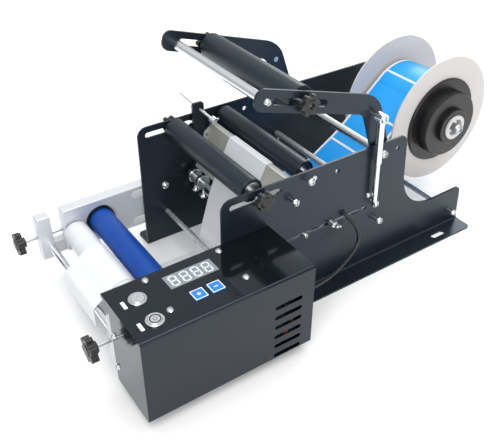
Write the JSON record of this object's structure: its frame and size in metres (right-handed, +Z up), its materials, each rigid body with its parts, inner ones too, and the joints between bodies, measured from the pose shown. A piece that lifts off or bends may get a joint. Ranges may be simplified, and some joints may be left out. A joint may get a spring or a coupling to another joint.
{
  "type": "bottle labelling machine",
  "caption": "bench-top bottle labelling machine with a label reel on a cantilever shaft, a swing arm with press roller, idler and bottle rollers, a sensor and a control box",
  "frame": {"origin": "floor level, at the centre of the four foot slots", "axes": "+X along the machine from the bottle rollers towards the label reel, +Y across it away from the control box, +Z up"},
  "size_m": [0.729, 0.348, 0.3271],
  "materials": {
    "black_paint": "satin powder coat",
    "alloy": "brushed anodised",
    "chrome": "polished",
    "steel": "brushed",
    "blue_rubber": "matt",
    "black_rubber": "matt",
    "white_plastic": "smooth",
    "grey_plastic": "smooth, slightly translucent",
    "black_plastic": "moulded",
    "gloss_black": "polished",
    "label": "printed paper label stock",
    "paper": "coated release paper",
    "key_blue": "smooth",
    "zinc": "zinc plated",
    "cable": "smooth PVC jacket",
    "board": "solder mask"
  },
  "bodies": {
    "frame": {"near_side_plate": "black_paint", "far_side_plate": "black_paint", "tie_rods": "chrome", "guide_rods": "chrome", "frame_screws": "zinc", "far_roller_arm": "alloy", "near_roller_arm": "alloy", "drive_bearings": "steel", "fixed_shafts": "steel", "guide_deck": "steel", "edge_tab": "black_paint", "slanted_guide_wire": "chrome", "label_web": "label", "reel_shaft": "steel", "box_housing": "gloss_black", "box_top_panel": "gloss_black", "box_screws": "zinc", "display_module": "gloss_black", "button_bezels": "steel", "drive_motor": "zinc", "control_board": "board", "sensor_cable": "cable", "cable_grommet": "black_rubber"},
    "drive_roller": {"drive_roller_core": "steel", "drive_roller_sleeve": "blue_rubber"},
    "pinch_roller": {"pinch_roller": "white_plastic"},
    "adjust_carriage": {"adjust_blocks": "alloy", "adjust_rod": "chrome", "liner_tail": "paper"},
    "far_adjust_knob": {"far_adjust_knob": "black_plastic"},
    "near_adjust_knob": {"near_adjust_knob": "black_plastic"},
    "front_idler_carrier": {"front_idler_shaft": "steel"},
    "front_idler": {"front_idler_roller": "black_rubber"},
    "near_idler_knob": {"near_idler_knob": "black_plastic"},
    "far_idler_knob": {"far_idler_knob": "black_plastic"},
    "rear_idler": {"rear_idler_roller": "black_rubber"},
    "swing_arm": {"swing_arms": "black_paint", "swing_cross_bar": "chrome", "swing_arm_screws": "zinc"},
    "press_carrier": {"press_roller_shaft": "steel"},
    "press_roller": {"press_roller": "black_rubber"},
    "near_press_knob": {"near_press_knob": "black_plastic"},
    "far_press_knob": {"far_press_knob": "black_plastic"},
    "near_strut_lower": {"near_strut_rod": "chrome"},
    "near_strut_upper": {"near_strut_tube": "steel"},
    "far_strut_lower": {"far_strut_rod": "chrome"},
    "far_strut_upper": {"far_strut_tube": "steel"},
    "reel": {"reel_spool": "grey_plastic", "label_roll": "label"},
    "reel_flange": {"near_reel_disc": "grey_plastic", "near_reel_clamp": "black_plastic"},
    "inner_collar": {"inner_edge_collar": "zinc"},
    "outer_collar": {"outer_edge_collar": "zinc"},
    "plus_key": {"plus_key": "key_blue"},
    "minus_key": {"minus_key": "key_blue"},
    "start_button": {"start_button": "steel"},
    "power_button": {"power_button": "steel"},
    "sensor_carriage": {"sensor_bracket": "zinc", "sensor_fork": "black_plastic"},
    "wing_nut": {"sensor_wing_nut": "zinc"}
  },
  "joints": [
    {"name": "drive_roller_spin", "type": "hinge", "parent": "frame", "child": "drive_roller", "pos_m": [-0.2975, 0, 0.074], "axis": [0, 1, 0], "continuous": true},
    {"name": "pinch_roller_spin", "type": "hinge", "parent": "frame", "child": "pinch_roller", "pos_m": [-0.338, 0, 0.0685], "axis": [0, 1, 0], "continuous": true},
    {"name": "adjust_carriage_slide", "type": "slide", "parent": "frame", "child": "adjust_carriage", "axis": [-1, 0, 0], "range_m": [-0.006, 0.012], "deforming": ["liner_tail"]},
    {"name": "far_adjust_knob_turn", "type": "hinge", "parent": "adjust_carriage", "child": "far_adjust_knob", "pos_m": [-0.408, 0.119, 0.074], "axis": [1, 0, 0], "range_deg": [-2160, 4320]},
    {"name": "near_adjust_knob_turn", "type": "hinge", "parent": "adjust_carriage", "child": "near_adjust_knob", "pos_m": [-0.408, -0.119, 0.074], "axis": [1, 0, 0], "range_deg": [-2160, 4320]},
    {"name": "front_idler_adjust", "type": "slide", "parent": "frame", "child": "front_idler_carrier", "axis": [1, 0, 0], "range_m": [-0.025, 0.012]},
    {"name": "front_idler_spin", "type": "hinge", "parent": "front_idler_carrier", "child": "front_idler", "pos_m": [-0.1725, 0, 0.187], "axis": [0, 1, 0], "continuous": true},
    {"name": "near_idler_knob_turn", "type": "hinge", "parent": "front_idler_carrier", "child": "near_idler_knob", "pos_m": [-0.1725, -0.114, 0.187], "axis": [0, 1, 0], "range_deg": [0, 720]},
    {"name": "far_idler_knob_turn", "type": "hinge", "parent": "front_idler_carrier", "child": "far_idler_knob", "pos_m": [-0.1725, 0.114, 0.187], "axis": [0, 1, 0], "range_deg": [0, 720]},
    {"name": "rear_idler_spin", "type": "hinge", "parent": "frame", "child": "rear_idler", "pos_m": [-0.088, 0, 0.185], "axis": [0, 1, 0], "continuous": true},
    {"name": "swing_arm_hinge", "type": "hinge", "parent": "frame", "child": "swing_arm", "pos_m": [0.0335, 0, 0.181], "axis": [0, -1, 0], "range_deg": [-3, 20]},
    {"name": "press_roller_adjust", "type": "slide", "parent": "swing_arm", "child": "press_carrier", "axis": [0.9563, 0, -0.2924], "range_m": [-0.031, 0.028]},
    {"name": "press_roller_spin", "type": "hinge", "parent": "press_carrier", "child": "press_roller", "pos_m": [-0.1055, 0, 0.2947], "axis": [0, 1, 0], "continuous": true},
    {"name": "near_press_knob_turn", "type": "hinge", "parent": "press_carrier", "child": "near_press_knob", "pos_m": [-0.1055, -0.11, 0.2947], "axis": [0, 1, 0], "range_deg": [0, 720]},
    {"name": "far_press_knob_turn", "type": "hinge", "parent": "press_carrier", "child": "far_press_knob", "pos_m": [-0.1055, 0.12, 0.2947], "axis": [0, 1, 0], "range_deg": [0, 720]},
    {"name": "near_strut_foot", "type": "hinge", "parent": "frame", "child": "near_strut_lower", "pos_m": [0.0175, -0.118, 0.112], "axis": [0, -1, 0], "range_deg": [-2, 10.5]},
    {"name": "near_strut_stroke", "type": "slide", "parent": "near_strut_lower", "child": "near_strut_upper", "axis": [-0.0522, 0, 0.9986], "range_m": [-0.0085, 0.0015]},
    {"name": "far_strut_foot", "type": "hinge", "parent": "frame", "child": "far_strut_lower", "pos_m": [0.0175, 0.122, 0.112], "axis": [0, -1, 0], "range_deg": [-2, 10.5]},
    {"name": "far_strut_stroke", "type": "slide", "parent": "far_strut_lower", "child": "far_strut_upper", "axis": [-0.0522, 0, 0.9986], "range_m": [-0.0085, 0.0015]},
    {"name": "reel_spin", "type": "hinge", "parent": "frame", "child": "reel", "pos_m": [0.2065, 0, 0.1586], "axis": [0, 1, 0], "continuous": true},
    {"name": "reel_flange_slide", "type": "slide", "parent": "reel", "child": "reel_flange", "axis": [0, 1, 0], "range_m": [0, 0.004]},
    {"name": "inner_collar_slide", "type": "slide", "parent": "frame", "child": "inner_collar", "axis": [0, 1, 0], "range_m": [-0.017, 0.004]},
    {"name": "outer_collar_slide", "type": "slide", "parent": "frame", "child": "outer_collar", "axis": [0, 1, 0], "range_m": [-0.003, 0.002]},
    {"name": "plus_key_press", "type": "slide", "parent": "frame", "child": "plus_key", "axis": [0, 0, -1], "range_m": [0, 0.0008], "stiffness_N_per_m": 400},
    {"name": "minus_key_press", "type": "slide", "parent": "frame", "child": "minus_key", "axis": [0, 0, -1], "range_m": [0, 0.0008], "stiffness_N_per_m": 400},
    {"name": "start_button_press", "type": "slide", "parent": "frame", "child": "start_button", "axis": [0, 0, -1], "range_m": [0, 0.0022], "stiffness_N_per_m": 300},
    {"name": "power_button_press", "type": "slide", "parent": "frame", "child": "power_button", "axis": [0, 0, -1], "range_m": [0, 0.0022], "stiffness_N_per_m": 300},
    {"name": "sensor_slide", "type": "slide", "parent": "frame", "child": "sensor_carriage", "axis": [1, 0, 0], "range_m": [-0.026, 0.003]},
    {"name": "wing_nut_turn", "type": "hinge", "parent": "sensor_carriage", "child": "wing_nut", "pos_m": [-0.0525, -0.114, 0.102], "axis": [0, 1, 0], "range_deg": [0, 540]}
  ],
  "couplings": [
    {"joint": "near_strut_foot", "follows": "swing_arm_hinge", "ratio": 0.4924},
    {"joint": "near_strut_stroke", "follows": "swing_arm_hinge", "m_per_rad": -0.02393},
    {"joint": "near_adjust_knob_turn", "follows": "adjust_carriage_slide", "rad_per_m": 6283.2},
    {"joint": "far_strut_foot", "follows": "swing_arm_hinge", "ratio": 0.4924},
    {"joint": "far_strut_stroke", "follows": "swing_arm_hinge", "m_per_rad": -0.02393},
    {"joint": "far_adjust_knob_turn", "follows": "adjust_carriage_slide", "rad_per_m": 6283.2}
  ]
}
